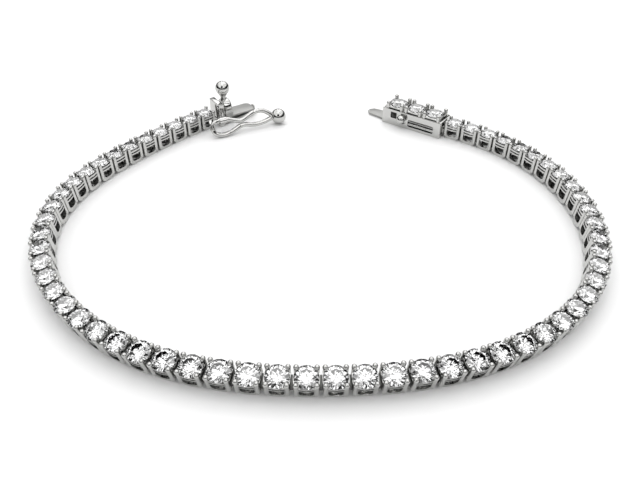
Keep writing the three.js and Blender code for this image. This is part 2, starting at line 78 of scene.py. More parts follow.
def linear(hex_colour):
    """An sRGB hex colour as linear red, green, blue and alpha."""
    parts = [int(hex_colour[i:i + 2], 16) / 255 for i in (1, 3, 5)]
    return [p / 12.92 if p <= 0.04045 else ((p + 0.055) / 1.055) ** 2.4 for p in parts] + [1.0]


def node(tree, kind, links=(), **settings):
    """Adds a node, sets its values, and links its inputs from other nodes' outputs."""
    made = tree.nodes.new(kind)
    for name, value in settings.items():
        if hasattr(made, name):
            setattr(made, name, value)
        else:
            made.inputs[name.replace("_", " ")].default_value = value
    for name, source, output in links:
        tree.links.new(source.outputs[output], made.inputs[name])
    return made


def new_material(name):
    """An empty material and its tree."""
    material = bpy.data.materials.new(name)
    material.use_nodes = True
    material.node_tree.nodes.clear()
    return material, material.node_tree


white_lacquer, tree = new_material("white_lacquer")
lacquer = node(tree, "ShaderNodeBsdfPrincipled", Base_Color=linear(FLOOR_WHITE), Roughness=LACQUER_ROUGHNESS)
node(tree, "ShaderNodeOutputMaterial", [("Surface", lacquer, "BSDF")])

bpy.ops.object.select_all(action="DESELECT")
bpy.ops.mesh.primitive_plane_add(size=FLOOR_SIZE)
table = bpy.context.object
table.name = "table"
table.data.materials.append(white_lacquer)


# Studio light. A tent of white cloth on thin dark ribs, open round the lens and
# black in a gap above the table that is widest at the sides. A softbox behind
# throws the shadows forwards. Past the table the lens sees a pale backdrop.
TENT_WHITE = 1.98
TENT_DARK = 0.015
LENS_OPENING = 0.27
SOFT_EDGE = 0.06
GAP_TOP = 0.20
SIDE_GAP = 0.22
CLOTH_FADE = 0.22
RIBS = 18
RIB_SHARE = 0.26
RIB_TOP = 0.93
HALF_STEP = 0.5
BACKDROP = 0.92
SOFTBOX_AT = Vector((0.05, 0.28, 0.38))
SOFTBOX_POWER = 0.22
SOFTBOX_SIZE = 0.32

world = bpy.data.worlds.new("tent")
bpy.context.scene.world = world
world.use_nodes = True
tree = world.node_tree
tree.nodes.clear()
place = node(tree, "ShaderNodeTexCoord")
split = node(tree, "ShaderNodeSeparateXYZ", [("Vector", place, "Generated")])
from_lens = node(tree, "ShaderNodeVectorMath", [(0, place, "Generated")], operation="DISTANCE")
from_lens.inputs[1].default_value = back
opening = node(tree, "ShaderNodeMapRange", [("Value", from_lens, "Value")],
               From_Min=LENS_OPENING, From_Max=LENS_OPENING + SOFT_EDGE)
sideways = node(tree, "ShaderNodeMath", [(0, split, "X"), (1, split, "X")], operation="MULTIPLY")
over_gap = node(tree, "ShaderNodeMath", [(0, sideways, "Value"), (2, split, "Z")], operation="MULTIPLY_ADD")
over_gap.inputs[1].default_value = -SIDE_GAP
cloth = node(tree, "ShaderNodeMapRange", [("Value", over_gap, "Value")], interpolation_type="SMOOTHSTEP",
             From_Min=GAP_TOP, From_Max=GAP_TOP + CLOTH_FADE)
around = node(tree, "ShaderNodeTexGradient", [("Vector", place, "Generated")], gradient_type="RADIAL")
turns = node(tree, "ShaderNodeMath", [(0, around, "Fac")], operation="MULTIPLY_ADD")
turns.inputs[1].default_value = RIBS
turns.inputs[2].default_value = HALF_STEP
from_rib = node(tree, "ShaderNodeMath", [(0, turns, "Value")], operation="PINGPONG")
from_rib.inputs[1].default_value = HALF_STEP
between = node(tree, "ShaderNodeMapRange", [("Value", from_rib, "Value")],
               From_Min=RIB_SHARE / 2, From_Max=RIB_SHARE / 2 + SOFT_EDGE)
roof = node(tree, "ShaderNodeMapRange", [("Value", split, "Z")],
            From_Min=RIB_TOP, From_Max=RIB_TOP + SOFT_EDGE)
ribbed = node(tree, "ShaderNodeMath", [(0, between, "Result"), (1, roof, "Result")], operation="MAXIMUM")
hung = node(tree, "ShaderNodeMath", [(0, cloth, "Result"), (1, ribbed, "Value")], operation="MULTIPLY")
open_front = node(tree, "ShaderNodeMath", [(0, hung, "Value"), (1, opening, "Result")], operation="MULTIPLY")
glow = node(tree, "ShaderNodeMapRange", [("Value", open_front, "Value")],
            To_Min=TENT_DARK, To_Max=TENT_WHITE)
sky = node(tree, "ShaderNodeBackground", [("Strength", glow, "Result")], Color=(1, 1, 1, 1))
backdrop = node(tree, "ShaderNodeBackground", Color=(1, 1, 1, 1), Strength=BACKDROP)
seen = node(tree, "ShaderNodeLightPath")
world_light = node(tree, "ShaderNodeMixShader", [("Fac", seen, "Is Camera Ray"), (1, sky, "Background"),
                                                 (2, backdrop, "Background")])
node(tree, "ShaderNodeOutputWorld", [("Surface", world_light, "Shader")])

softbox_data = bpy.data.lights.new("back_softbox", "AREA")
softbox_data.energy = SOFTBOX_POWER
softbox_data.size = SOFTBOX_SIZE
softbox = bpy.data.objects.new("back_softbox", softbox_data)
bpy.context.scene.collection.objects.link(softbox)
softbox.location = SOFTBOX_AT
softbox.rotation_euler = (-SOFTBOX_AT).to_track_quat("-Z", "Y").to_euler()
bpy.context.scene.view_settings.view_transform = "Standard"


# Row of links. Each link is a cast square basket of white gold: four claws
# with ball tips, two thin gallery rails, and side walls with a window above
# the bottom rail. The links are strung on hinge lugs and lie in an open ring.
PER_METRE = 1000
PITCH = 2.92
# Bend is the turn of one link against the next, and lean tips the stones away
# from the middle of the ring, both in degrees.
ROW = [
    {"link": -30, "bend": 0.7, "lean": -4},
    {"link": -24, "bend": 2.4, "lean": 1},
    {"link": -18, "bend": 8.1, "lean": 7.5},
    {"link": -12, "bend": 5.8, "lean": 12.7},
    {"link": -6, "bend": 5.4, "lean": 15.8},
    {"link": 0, "bend": 1.9, "lean": 18},
    {"link": 6, "bend": 4.8, "lean": 15.8},
    {"link": 12, "bend": 6.7, "lean": 12.7},
    {"link": 18, "bend": 5.65, "lean": 7.5},
    {"link": 24, "bend": 6.9, "lean": 1},
    {"link": 30, "bend": 2.0, "lean": -4},
]
ROW_START = {"x": 0.27, "y": -24.71, "heading": 1.06}
ROW_MIDDLE = (0.103, 4.892)
ROW_STEPS = 20
LEFT_LINKS = 29
RIGHT_LINKS = 28
LINK_LENGTH = 2.70
LINK_WIDTH = 2.50
BASE_WIDTH = 2.28
SIDE_BULGE = 0.15
BULGE_CUTS_ALONG = (-0.9, -0.45, 0.0, 0.45, 0.9)
BULGE_CUTS_ACROSS = (-0.8, -0.4, 0.0, 0.4, 0.8)
GALLERY_TOP = 2.26
BOTTOM_CORNER = 0.62
WINDOW = {"length": 1.56, "width": 1.40, "bottom": 0.50, "top": 1.58, "corner": 0.42}
RAIL_SLOT = {"length": 1.60, "width": 1.40, "bottom": 1.78, "top": 2.03}
SEAT = {"top_r": 1.12, "foot_r": 0.72, "foot_z": 1.30, "over": 0.4, "sides": 32}
DRAIN = {"depth": 3.0, "sides": 24}
CLAW_ALONG = 1.055
CLAW_ACROSS = 0.99
CLAW_R = 0.30
CLAW_POST = 0.88
CLAW_FOOT = 0.36
CLAW_TOP = 3.02
CLAW_BALL = {"depth": 1.4, "waist": 0.81, "sides": 14, "rings": 10}
LUG = {"half": 0.24, "width": 1.30, "bottom": 0.62, "top": 1.72, "round": 0.08}
THROUGH = 2.0
TOUCH = 0.01
CRISP_ABOVE = 32
INSIDE = {"radius": 1.2, "turned_in": 0.05}
END_FACE = {"from": 1.1, "half": 0.8, "facing": 0.8}


def row_value(place, name):
    """A value of the row's table at a place along the row."""
    after = next((i for i, row in enumerate(ROW) if row["link"] >= place), len(ROW) - 1)
    b = ROW[after]
    a = ROW[max(after - 1, 0)]
    span = b["link"] - a["link"]
    share = min(max((place - a["link"]) / span, 0.0), 1.0) if span else 0.0
    return a[name] + (b[name] - a[name]) * share


def row_gaps():
    """Where the row passes from one link to the next, from the front to both ends."""
    gaps = {0: (ROW_START["x"], ROW_START["y"], math.radians(ROW_START["heading"]))}
    for sign in (1, -1):
        x, y, turn = gaps[0]
        for i in range(1, ROW[-1]["link"] + 1):
            for k in range(ROW_STEPS):
                middle = sign * (i - 1 + (k + 0.5) / ROW_STEPS)
                half_bend = sign * math.radians(row_value(middle, "bend")) / ROW_STEPS / 2
                turn += half_bend
                x += sign * math.cos(turn) * PITCH / ROW_STEPS
                y += sign * math.sin(turn) * PITCH / ROW_STEPS
                turn += half_bend
            gaps[sign * i] = (x, y, turn)
    return gaps


def standing(x, y, turn, lean_degrees, half_base):
    """A place on the table: X along the row, Y to the wrist, Z the way the stone looks."""
    lean = math.radians(lean_degrees)
    up = Vector((0, 0, 1))
    out_level = Vector((math.sin(turn), -math.cos(turn), 0))
    out = out_level * math.cos(lean) - up * math.sin(lean)
    normal = out_level * math.sin(lean) + up * math.cos(lean)
    along = Vector((math.cos(turn), math.sin(turn), 0))
    made = Matrix((along, -out, normal)).transposed().to_4x4()
    made.translation = (x - ROW_MIDDLE[0], y - ROW_MIDDLE[1], half_base * abs(math.sin(lean)))
    return Matrix.Scale(1 / PER_METRE, 4) @ made


gaps = row_gaps()


def link_place(i):
    """The place of link i, between gap i and gap i + 1."""
    (ax, ay, _), (bx, by, _) = gaps[i], gaps[i + 1]
    turn = math.atan2(by - ay, bx - ax)
    return standing((ax + bx) / 2, (ay + by) / 2, turn, row_value(i + 0.5, "lean"), BASE_WIDTH / 2)


def gap_place(i):
    """The place of the hinge before link i."""
    x, y, turn = gaps[i]
    return standing(x, y, turn, row_value(i, "lean"), BASE_WIDTH / 2)


def added(make, **settings):
    """Adds a primitive with nothing else selected, and applies its place and size."""
    bpy.ops.object.select_all(action="DESELECT")
    make(**settings)
    bpy.ops.object.transform_apply(location=True, rotation=True, scale=True)
    return bpy.context.object


def block(low, high):
    """A block between two corners."""
    low, high = Vector(low), Vector(high)
    return added(bpy.ops.mesh.primitive_cube_add, size=1, location=(low + high) / 2, scale=high - low)


def only(piece):
    """Makes this piece the one that operators act on."""
    bpy.ops.object.select_all(action="DESELECT")
    piece.select_set(True)
    bpy.context.view_layer.objects.active = piece


def bevel_edges(piece, chosen, width, segments, profile=0.5):
    """Rounds the edges that chosen(a, b) names by their two ends."""
    only(piece)
    bpy.ops.object.mode_set(mode="EDIT")
    bpy.ops.mesh.select_mode(type="EDGE")
    bpy.ops.mesh.select_all(action="DESELECT")
    shape = bmesh.from_edit_mesh(piece.data)
    for edge in shape.edges:
        edge.select_set(chosen(edge.verts[0].co, edge.verts[1].co))
    bmesh.update_edit_mesh(piece.data)
    bpy.ops.mesh.bevel(offset=width, segments=segments, profile=profile, affect="EDGES")
    bpy.ops.object.mode_set(mode="OBJECT")


def split_across(piece, axis, places):
    """Splits the faces of a piece where planes across an axis pass through it."""
    only(piece)
    bpy.ops.object.mode_set(mode="EDIT")
    for at in places:
        bpy.ops.mesh.select_all(action="SELECT")
        bpy.ops.mesh.bisect(plane_co=axis * at, plane_no=axis)
    bpy.ops.object.mode_set(mode="OBJECT")


def modified(piece, kind, **settings):
    """Adds a modifier and applies it."""
    only(piece)
    modifier = piece.modifiers.new(kind.lower(), kind)
    for name, value in settings.items():
        setattr(modifier, name, value)
    bpy.ops.object.modifier_apply(modifier=modifier.name)
    return piece


def cut(piece, tool):
    """Cuts the tool out of the piece and throws the tool away."""
    modified(piece, "BOOLEAN", operation="DIFFERENCE", object=tool, solver="EXACT")
    bpy.data.objects.remove(tool)


def fused(piece, other):
    """Solders another piece on, and throws the other away."""
    modified(piece, "BOOLEAN", operation="UNION", object=other, solver="EXACT")
    bpy.data.objects.remove(other)


def claw(x, y, foot, top, radius):
    """A claw: a round wire whose top is melted to a slightly thicker ball."""
    post = added(bpy.ops.mesh.primitive_uv_sphere_add, segments=CLAW_BALL["sides"],
                 ring_count=CLAW_BALL["rings"], radius=radius, location=(x, y, top - radius))
    for vertex in post.data.vertices:
        if vertex.co.z < top - radius * CLAW_BALL["depth"]:
            vertex.co.z += foot + radius - (top - radius)
            vertex.co.x = x + (vertex.co.x - x) * CLAW_POST / CLAW_BALL["waist"]
            vertex.co.y = y + (vertex.co.y - y) * CLAW_POST / CLAW_BALL["waist"]
    return post


def flat_sided(piece, degrees=CRISP_ABOVE):
    """Smooth shading, with edges sharper than this left crisp."""
    only(piece)
    bpy.ops.object.shade_smooth_by_angle(angle=math.radians(degrees))
    return piece


def basket():
    """The metal of one link."""
    half_length = LINK_LENGTH / 2
    half_width = LINK_WIDTH / 2
    body = block((-half_length, -half_width, 0), (half_length, half_width, GALLERY_TOP))
    bevel_edges(body, lambda a, b: abs(a.z) + abs(b.z) < TOUCH and abs(a.x - b.x) < TOUCH,
                BOTTOM_CORNER, segments=5)
    split_across(body, Vector((1, 0, 0)), BULGE_CUTS_ALONG)
    split_across(body, Vector((0, 1, 0)), BULGE_CUTS_ACROSS)
    for vertex in body.data.vertices:
        x, y, z = vertex.co
        share = min(z / GALLERY_TOP, 1.0)
        width = (BASE_WIDTH + (LINK_WIDTH - BASE_WIDTH) * share) / LINK_WIDTH
        vertex.co.y = y * width * (1 - SIDE_BULGE / half_width * (x / half_length) ** 2)
        vertex.co.x = x * (1 - SIDE_BULGE / half_length * (y / half_width) ** 2)
    half = WINDOW["length"] / 2
    window = block((-half, -THROUGH, WINDOW["bottom"]), (half, THROUGH, WINDOW["top"]))
    bevel_edges(window, lambda a, b: abs(a.y - b.y) > THROUGH and a.z < WINDOW["top"] - TOUCH,
                WINDOW["corner"], segments=4)
    cut(body, window)
    half = WINDOW["width"] / 2
    cut(body, block((-THROUGH, -half, WINDOW["bottom"]), (THROUGH, half, WINDOW["top"])))
    half = RAIL_SLOT["length"] / 2
    cut(body, block((-half, -THROUGH, RAIL_SLOT["bottom"]), (half, THROUGH, RAIL_SLOT["top"])))
    half = RAIL_SLOT["width"] / 2
    cut(body, block((-THROUGH, -half, RAIL_SLOT["bottom"]), (THROUGH, half, RAIL_SLOT["top"])))
    depth = GALLERY_TOP - SEAT["foot_z"]
    slope = (SEAT["top_r"] - SEAT["foot_r"]) / depth
    tall = depth + SEAT["over"]
    cut(body, added(bpy.ops.mesh.primitive_cone_add, vertices=SEAT["sides"], depth=tall,
                    radius1=SEAT["foot_r"], radius2=SEAT["top_r"] + slope * SEAT["over"],
                    location=(0, 0, SEAT["foot_z"] + tall / 2)))
    cut(body, added(bpy.ops.mesh.primitive_cylinder_add, vertices=DRAIN["sides"], depth=DRAIN["depth"],
                    radius=SEAT["foot_r"], location=(0, 0, 0)))
    for x in (-CLAW_ALONG, CLAW_ALONG):
        for y in (-CLAW_ACROSS, CLAW_ACROSS):
            fused(body, claw(x, y, CLAW_FOOT, CLAW_TOP, CLAW_R))
    return body


def second_face(piece, chosen):
    """Gives the faces that chosen(middle, normal) names to the second material."""
    for face in piece.data.polygons:
        face.material_index = int(chosen(face.center, face.normal))


def painted_shade_in_link(middle, normal):
    """Inside the basket, or on the ends that face the next link, where shade is painted."""
    turned_in = normal.x * middle.x + normal.y * middle.y < -INSIDE["turned_in"]
    inside = turned_in and middle.xy.length < INSIDE["radius"]
    at_end = abs(middle.x) > END_FACE["from"] and abs(middle.y) < END_FACE["half"]
    end = abs(normal.x) > END_FACE["facing"] and at_end
    return middle.z < GALLERY_TOP + TOUCH and (inside or end)


one_basket = flat_sided(basket())
# Faces inside each basket and on its ends take the cast grey, painted shade for the recesses and the gaps
# between links.
second_face(one_basket, painted_shade_in_link)
one_lug = block((-LUG["half"], -LUG["width"] / 2, LUG["bottom"]),
                (LUG["half"], LUG["width"] / 2, LUG["top"]))
bevel_edges(one_lug, lambda a, b: True, LUG["round"], segments=2)
flat_sided(one_lug)

# White gold. Cast 14 carat alloy, polished on felt wheels and plated with
# rhodium: a cool, bright mirror with hairlines, drawn coarser than real ones so
# that they show, and slow waves that soften the reflections.
RHODIUM = "#C4C4C2"
HAIRLINE_MM = 0.19
HAIRLINE_ROUGHNESS = {"To_Min": 0.04, "To_Max": 0.12}
WAVE_MM = 0.9
WAVE_RELIEF = {"Strength": 0.05, "Distance": 0.00002}

rhodium_plate, tree = new_material("rhodium_plated_gold")
place = node(tree, "ShaderNodeTexCoord")
hairlines = node(tree, "ShaderNodeTexNoise", [("Vector", place, "Object")],
                 Scale=PER_METRE / HAIRLINE_MM, Detail=3.0)
waves = node(tree, "ShaderNodeTexNoise", [("Vector", place, "Object")],
             Scale=PER_METRE / WAVE_MM, Detail=1.0)
rough = node(tree, "ShaderNodeMapRange", [("Value", hairlines, "Fac")], **HAIRLINE_ROUGHNESS)
relief = node(tree, "ShaderNodeBump", [("Height", waves, "Fac")], **WAVE_RELIEF)
metal = node(tree, "ShaderNodeBsdfPrincipled", [("Roughness", rough, "Result"), ("Normal", relief, "Normal")],
             Base_Color=linear(RHODIUM), Metallic=1.0)
node(tree, "ShaderNodeOutputMaterial", [("Surface", metal, "BSDF")])

# Cast skin and painted shade. The same alloy inside the baskets and the box and on
# the hinge lugs, where no wheel reaches: the sandy skin of the casting, dull and rough.
# Its darker grey is painted shade for these recesses and the gaps between the links.
# The sand is drawn a little coarser than a real casting's.
# This grey is painted shade, darker than the polished metal.
PAINTED_SHADE_GREY = "#7C7C7A"
SAND_MM = 0.12
SAND_ROUGHNESS = {"To_Min": 0.35, "To_Max": 0.6}
SAND_RELIEF = {"Strength": 0.3, "Distance": 0.00003}

cast_skin_and_shade, tree = new_material("cast_white_gold_painted_shade")
place = node(tree, "ShaderNodeTexCoord")
sand = node(tree, "ShaderNodeTexNoise", [("Vector", place, "Object")],
            Scale=PER_METRE / SAND_MM, Detail=4.0)
rough = node(tree, "ShaderNodeMapRange", [("Value", sand, "Fac")], **SAND_ROUGHNESS)
relief = node(tree, "ShaderNodeBump", [("Height", sand, "Fac")], **SAND_RELIEF)
metal = node(tree, "ShaderNodeBsdfPrincipled", [("Roughness", rough, "Result"), ("Normal", relief, "Normal")],
             Base_Color=linear(PAINTED_SHADE_GREY), Metallic=1.0)
node(tree, "ShaderNodeOutputMaterial", [("Surface", metal, "BSDF")])


def set_down(piece, name, places, materials, body, replaced=None):
    """Copies a piece to each of its places, as one joined mesh that rides on a body."""
    whole = bmesh.new()
    for matrix in places:
        copy = piece.data.copy()
        copy.transform(matrix)
        whole.from_mesh(copy)
        bpy.data.meshes.remove(copy)
    mesh = bpy.data.meshes.new(name)
    for material in materials:
        mesh.materials.append(material)
    whole.to_mesh(mesh)
    whole.free()
    made = bpy.data.objects.new(name, mesh)
    bpy.context.scene.collection.objects.link(made)
    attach(made, body)
    if replaced:
        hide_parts(replaced)
    return made


left = range(-LEFT_LINKS, 0)
right = range(0, RIGHT_LINKS)
basket_metal = [rhodium_plate, cast_skin_and_shade]
set_down(one_basket, "baskets_left", [link_place(i) for i in left], basket_metal,
                 "bracelet", "chain_left")
set_down(one_basket, "baskets_right", [link_place(i) for i in right], basket_metal,
                 "bracelet", "chain_right")
bpy.data.objects.remove(one_basket)
# The hinge lugs are wholly in the cast grey, painted shade that darkens the gaps between the links.
set_down(one_lug, "lugs_left", [gap_place(i) for i in range(1 - LEFT_LINKS, 1)], [cast_skin_and_shade],
                 "bracelet", "chain_left")
set_down(one_lug, "lugs_right", [gap_place(i) for i in range(1, RIGHT_LINKS)], [cast_skin_and_shade],
                 "bracelet", "chain_right")
bpy.data.objects.remove(one_lug)


# Stones of the row. Round brilliants, cut from clear crystal: a table, eight
# stars, eight kites and sixteen halves above the girdle, and sixteen halves
# and eight mains below it. Each one sits in its seat under the claws.
STONE_D = 2.64
STONE_TABLE = 0.57
CROWN_HEIGHT = 0.38
STAR_REACH = 0.52
STAR_SLOPE = 0.92
GIRDLE_HALF = 0.025
PAVILION_DEPTH = 1.12
HALF_REACH = 0.24
HALF_SLOPE = 0.985
GIRDLE_Z = 2.50
MAINS = 8
HALVES = 16


def brilliant(diameter, crown, pavilion):
    """A round brilliant with the middle of its girdle at the origin."""
    r = diameter / 2
    table_r = r * STONE_TABLE
    star_r = table_r + (r - table_r) * STAR_REACH
    star_z = GIRDLE_HALF + crown * (1 - STAR_REACH * STAR_SLOPE)
    half_z = -GIRDLE_HALF - pavilion * (1 - HALF_REACH) * HALF_SLOPE
    shape = bmesh.new()

    def ring(count, radius, height, turn):
        return [shape.verts.new((radius * math.cos(2 * math.pi * (i + turn) / count),
                                 radius * math.sin(2 * math.pi * (i + turn) / count), height))
                for i in range(count)]

    tables = ring(MAINS, table_r, GIRDLE_HALF + crown, 0.0)
    stars = ring(MAINS, star_r, star_z, 0.5)
    upper = ring(HALVES, r, GIRDLE_HALF, 0.0)
    lower = ring(HALVES, r, -GIRDLE_HALF, 0.0)
    halves = ring(MAINS, r * HALF_REACH, half_z, 0.5)
    culet = shape.verts.new((0, 0, -GIRDLE_HALF - pavilion))
    shape.faces.new(tables)
    for i in range(MAINS):
        j = (i + 1) % MAINS
        a = 2 * i
        b = (2 * i + 1) % HALVES
        c = (2 * i + 2) % HALVES
        shape.faces.new((tables[i], stars[i], tables[j]))
        shape.faces.new((tables[i], stars[i - 1], upper[a], stars[i]))
        shape.faces.new((stars[i], upper[a], upper[b]))
        shape.faces.new((stars[i], upper[b], upper[c]))
        shape.faces.new((lower[a], halves[i], lower[b]))
        shape.faces.new((lower[b], halves[i], lower[c]))
        shape.faces.new((lower[a], halves[i - 1], culet, halves[i]))
    for i in range(HALVES):
        j = (i + 1) % HALVES
        shape.faces.new((upper[i], lower[i], lower[j], upper[j]))
    bmesh.ops.recalc_face_normals(shape, faces=shape.faces)
    mesh = bpy.data.meshes.new("brilliant")
    shape.to_mesh(mesh)
    shape.free()
    made = bpy.data.objects.new("brilliant", mesh)
    bpy.context.scene.collection.objects.link(made)
    return made


# Crystal. It bends light as a diamond does, and is polished so finely that its
# facets show no marks: bright and dark flashes, and no colour of its own.
CRYSTAL_IOR = 2.417

crystal, tree = new_material("clear_crystal")
glass = node(tree, "ShaderNodeBsdfGlass", Color=(1, 1, 1, 1), IOR=CRYSTAL_IOR, Roughness=0.0)
node(tree, "ShaderNodeOutputMaterial", [("Surface", glass, "BSDF")])

one_stone = brilliant(STONE_D, CROWN_HEIGHT, PAVILION_DEPTH)
lift = Matrix.Translation((0, 0, GIRDLE_Z))
set_down(one_stone, "stones_left", [link_place(i) @ lift for i in left], [crystal],
                 "bracelet", "chain_left")
set_down(one_stone, "stones_right", [link_place(i) @ lift for i in right], [crystal],
                 "bracelet", "chain_right")
bpy.data.objects.remove(one_stone)


# Clasp box. A hollow box of white gold sheet with an open mouth for the tongue,
# a window and a slot in its wrist side, two rods behind the slot, and the ball
# stud that the safety catch snaps over.
BOX_TURN = 147.0
BOX_FROM_ROW = {"along": 0.113, "inward": 0.230}
BOX_LENGTH = 10.60
BOX_WIDTH = 3.70
BOX_HEIGHT = 2.80
BOX_CORNER = 0.09
MOUTH = {"depth": 9.60, "width": 2.90, "bottom": 0.42, "top": 2.36}
SIDE_WINDOW = {"from": 7.95, "to": 9.05, "bottom": 1.28, "top": 2.36, "corner": 0.12}
SLOT = {"from": 1.20, "to": 5.85, "bottom": 0.54, "top": 1.78, "corner": 0.30}
HOLES_FROM = 0.3
LOW_ROD = {"z": 0.90, "radius": 0.20}
HIGH_ROD = {"z": 1.42, "radius": 0.11}
ROD_INSET = 0.24
ROD_BITE = 0.15
STUD = {"along": 6.90, "z": 1.72, "radius": 0.72, "out": 0.50, "stem": 0.28, "root": 0.3}
CUP = {"radius": 0.92, "depth": 0.20, "drop": 0.12, "sides": 32}
END_TAB = {"half": 0.55, "bottom": 0.62, "top": 1.30, "bite": 0.20}
BOX_TAB_OUT = 0.12
PAST = 1.0

box_turn = math.radians(BOX_TURN)
row_end = gaps[RIGHT_LINKS]
box_x = row_end[0] + BOX_FROM_ROW["along"] * math.cos(box_turn) - BOX_FROM_ROW["inward"] * math.sin(box_turn)
box_y = row_end[1] + BOX_FROM_ROW["along"] * math.sin(box_turn) + BOX_FROM_ROW["inward"] * math.cos(box_turn)
box_place = standing(box_x, box_y, box_turn, 0.0, 0.0)


def rod(start, end, radius, sides=16):
    """A round rod between two points."""
    start, end = Vector(start), Vector(end)
    turn = (end - start).to_track_quat("Z", "Y").to_euler()
    return added(bpy.ops.mesh.primitive_cylinder_add, vertices=sides, radius=radius,
                 depth=(end - start).length, location=(start + end) / 2, rotation=turn)


def ball(at, radius, segments=24, rings=16):
    """A polished ball."""
    return added(bpy.ops.mesh.primitive_uv_sphere_add, segments=segments, ring_count=rings,
                 radius=radius, location=at)


def end_tab(face, out):
    """The hinge tab on an end piece, which reaches out of a face to the next link."""
    return block((face - out, -END_TAB["half"], END_TAB["bottom"]),
                 (face + END_TAB["bite"], END_TAB["half"], END_TAB["top"]))


box_half = BOX_WIDTH / 2
mouth_half = MOUTH["width"] / 2
mouth_back = BOX_LENGTH - MOUTH["depth"]
shell = block((0, -box_half, 0), (BOX_LENGTH, box_half, BOX_HEIGHT))
bevel_edges(shell, lambda a, b: True, BOX_CORNER, segments=2)
cut(shell, block((mouth_back, -mouth_half, MOUTH["bottom"]), (BOX_LENGTH + PAST, mouth_half, MOUTH["top"])))
for hole in (SIDE_WINDOW, SLOT):
    tool = block((hole["from"], HOLES_FROM, hole["bottom"]), (hole["to"], box_half + PAST, hole["top"]))
    bevel_edges(tool, lambda a, b: abs(a.y - b.y) > PAST, hole["corner"], segments=4)
    cut(shell, tool)
for bar in (LOW_ROD, HIGH_ROD):
    fused(shell, rod((SLOT["from"] - ROD_BITE, box_half - ROD_INSET, bar["z"]),
                     (SLOT["to"] + ROD_BITE, box_half - ROD_INSET, bar["z"]), bar["radius"]))
cup_z = STUD["z"] - CUP["drop"]
cut(shell, rod((STUD["along"], box_half - CUP["depth"], cup_z), (STUD["along"], box_half + PAST, cup_z),
               CUP["radius"], CUP["sides"]))
stud_at = (STUD["along"], box_half + STUD["out"], STUD["z"])
fused(shell, rod((STUD["along"], box_half - STUD["root"], STUD["z"]), stud_at, STUD["stem"]))
fused(shell, ball(stud_at, STUD["radius"]))
fused(shell, end_tab(0.0, BOX_TAB_OUT))


# Settings of the clasp. Three baskets for the larger stones stand on the lid:
# each has a flat gallery rail held clear of the lid by four ball-tipped claws,
# and a seat cut for its stone. The box is polished outside, and inside its mouth
# it is cast grey, painted shade.
BOX_STONES = 3
BOX_STONE_D = 3.04
BOX_STONE_PITCH = 3.30
BOX_STONE_FIRST = 1.95
BOX_GIRDLE_Z = 3.24
BOX_CLAW = {"along": 1.23, "across": 1.44, "radius": 0.36, "top": 3.92, "bite": 0.35}
BOX_RAIL = {"bottom": 2.97, "top": 3.19, "gap": 0.10, "side": 0.12, "round": 0.06}
BOX_SEAT = {"foot_r": 0.30, "stone_share": 0.93, "depth": 1.30, "sides": 32}

stone_middles = [BOX_STONE_FIRST + BOX_STONE_PITCH * i for i in range(BOX_STONES)]
rail_reach = BOX_STONE_PITCH / 2 - BOX_RAIL["gap"]
for middle in stone_middles:
    rail = block((middle - rail_reach, -box_half + BOX_RAIL["side"], BOX_RAIL["bottom"]),
                 (middle + rail_reach, box_half - BOX_RAIL["side"], BOX_RAIL["top"]))
    bevel_edges(rail, lambda a, b: True, BOX_RAIL["round"], segments=2)
    fused(shell, rail)
    for x in (-BOX_CLAW["along"], BOX_CLAW["along"]):
        for y in (-BOX_CLAW["across"], BOX_CLAW["across"]):
            fused(shell, claw(middle + x, y, BOX_HEIGHT - BOX_CLAW["bite"],
                              BOX_CLAW["top"], BOX_CLAW["radius"]))
    cut(shell, added(bpy.ops.mesh.primitive_cone_add, vertices=BOX_SEAT["sides"], depth=BOX_SEAT["depth"],
                     radius1=BOX_SEAT["foot_r"], radius2=BOX_STONE_D / 2 * BOX_SEAT["stone_share"],
                     location=(middle, 0, BOX_GIRDLE_Z - BOX_SEAT["depth"] / 2)))


def painted_shade_in_box(middle, normal):
    """On the walls inside the box's mouth, where shade is painted."""
    within = abs(middle.y) < mouth_half + TOUCH and mouth_back - TOUCH < middle.x < BOX_LENGTH - TOUCH
    return within and MOUTH["bottom"] - TOUCH < middle.z < MOUTH["top"] + TOUCH


flat_sided(shell)
# The walls inside the mouth take the cast grey, painted shade.
second_face(shell, painted_shade_in_box)
set_down(shell, "clasp_shell", [box_place], basket_metal, "bracelet", "clasp_box")
bpy.data.objects.remove(shell)


# Guide plate. A flat tab of the same sheet, soldered under the mouth and filed
# to a blunt point. It is rubbed along its length with fine paper, which gives a
# grey, softer shine with a faint grain, drawn coarser than real paper's marks.
GUIDE = {"bite": 0.30, "out": 3.60, "width": 2.60, "tip": 1.70, "bottom": 0.12, "thick": 0.30,
         "corner": 0.55, "round": 0.035}
SATIN = "#ACACAA"
GRAIN_MM = 0.26
GRAIN_ROUGHNESS = {"To_Min": 0.46, "To_Max": 0.62}
GRAIN_RELIEF = {"Strength": 0.12, "Distance": 0.00002}

guide = block((BOX_LENGTH - GUIDE["bite"], -GUIDE["width"] / 2, GUIDE["bottom"]),
              (BOX_LENGTH + GUIDE["out"], GUIDE["width"] / 2, GUIDE["bottom"] + GUIDE["thick"]))
for vertex in guide.data.vertices:
    if vertex.co.x > BOX_LENGTH + PAST:
        vertex.co.y *= GUIDE["tip"] / GUIDE["width"]
bevel_edges(guide, lambda a, b: abs(a.z - b.z) > TOUCH and a.x > BOX_LENGTH + PAST,
            GUIDE["corner"], segments=1)
bevel_edges(guide, lambda a, b: True, GUIDE["round"], segments=2)
flat_sided(guide)

